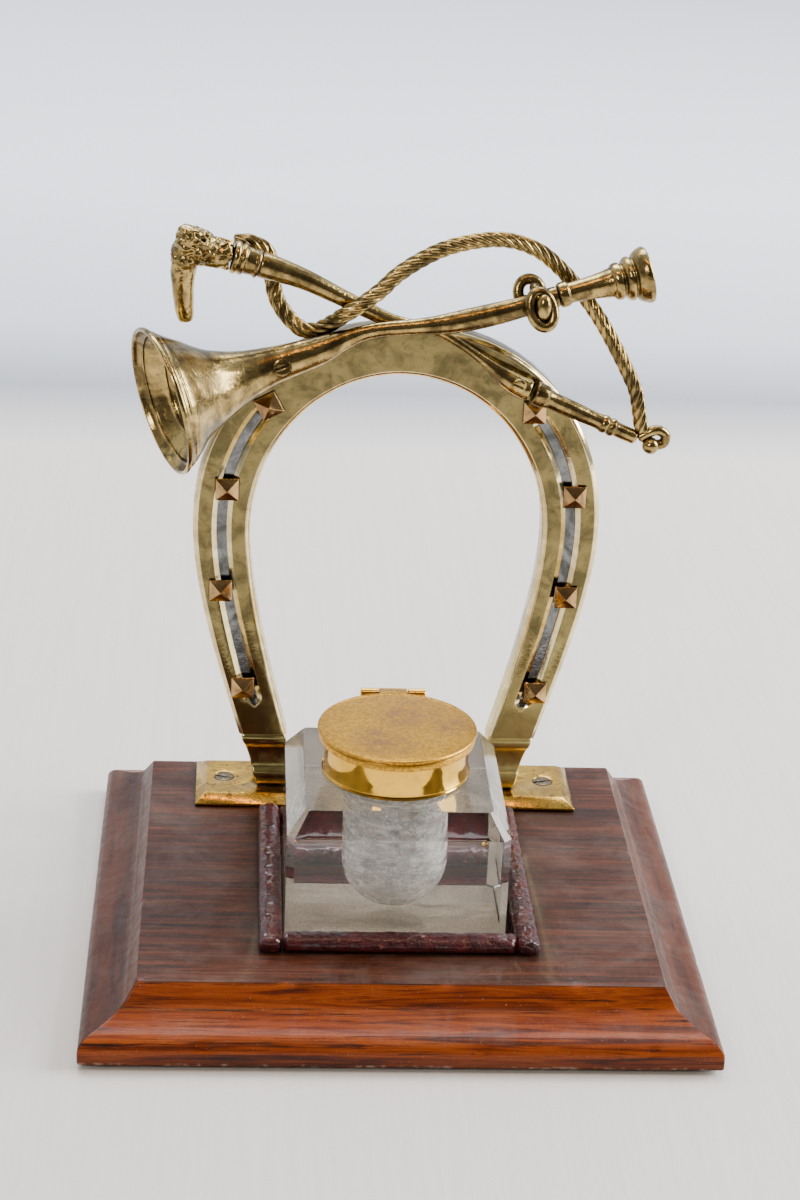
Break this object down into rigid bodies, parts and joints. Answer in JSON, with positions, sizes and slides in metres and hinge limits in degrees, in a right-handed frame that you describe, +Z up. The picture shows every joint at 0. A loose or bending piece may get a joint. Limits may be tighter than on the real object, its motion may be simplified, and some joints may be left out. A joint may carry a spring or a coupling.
{
  "type": "inkstand",
  "caption": "Equestrian desk inkstand: upright brass horseshoe with hunting horn and riding crop on a moulded wood base, and a square glass ink bottle with a hinged lid.",
  "frame": {"origin": "middle of the underside of the base, on the surface the inkstand stands on", "axes": "+X to the right seen from the front, +Y to the back where the horseshoe stands, +Z up; the ink bottle and the front face -Y"},
  "size_m": [0.17, 0.1584, 0.1943],
  "materials": {
    "brass": "aged, with dark recesses",
    "lid_brass": "rubbed, slightly spotted",
    "steel": "dulled",
    "rosewood": "old polish",
    "leather": "worn gloss",
    "felt": "matt",
    "crystal": "polished, cut corners"
  },
  "bodies": {
    "stand": {"wood_base": "rosewood", "base_felt": "felt", "tray_pad": "leather", "leather_rail_front": "leather", "leather_rail_back": "leather", "leather_rail_left": "leather", "leather_rail_right": "leather", "foot_plate_left": "brass", "foot_plate_right": "brass", "plate_screw_left": "steel", "plate_screw_right": "steel", "shoe_bolt_left": "steel", "shoe_bolt_right": "steel", "horseshoe": "brass", "nail_stud_left_1": "brass", "nail_stud_left_2": "brass", "nail_stud_left_3": "brass", "nail_stud_left_4": "brass", "nail_stud_right_1": "brass", "nail_stud_right_2": "brass", "nail_stud_right_3": "brass", "nail_stud_right_4": "brass", "horn_bell": "brass", "horn_mouthpiece": "brass", "horn_knot": "brass", "horn_screw": "brass", "horn_spacer": "brass", "crop_handle": "brass", "crop_collar": "brass", "crop_stock": "brass", "crop_tip": "brass", "crop_keeper": "brass", "crop_screw": "brass", "lash_rope": "brass"},
    "bottle": {"ink_bottle": "crystal", "bottle_collar": "lid_brass", "hinge_pin": "steel"},
    "lid": {"lid": "lid_brass"}
  },
  "joints": [
    {"name": "bottle_lift", "type": "slide", "parent": "stand", "child": "bottle", "axis": [0, 0, 1], "range_m": [0, 0.04]},
    {"name": "lid_hinge", "type": "hinge", "parent": "bottle", "child": "lid", "pos_m": [-0.001, 0.0113, 0.067], "axis": [-1, 0, 0], "range_deg": [0, 105]}
  ]
}
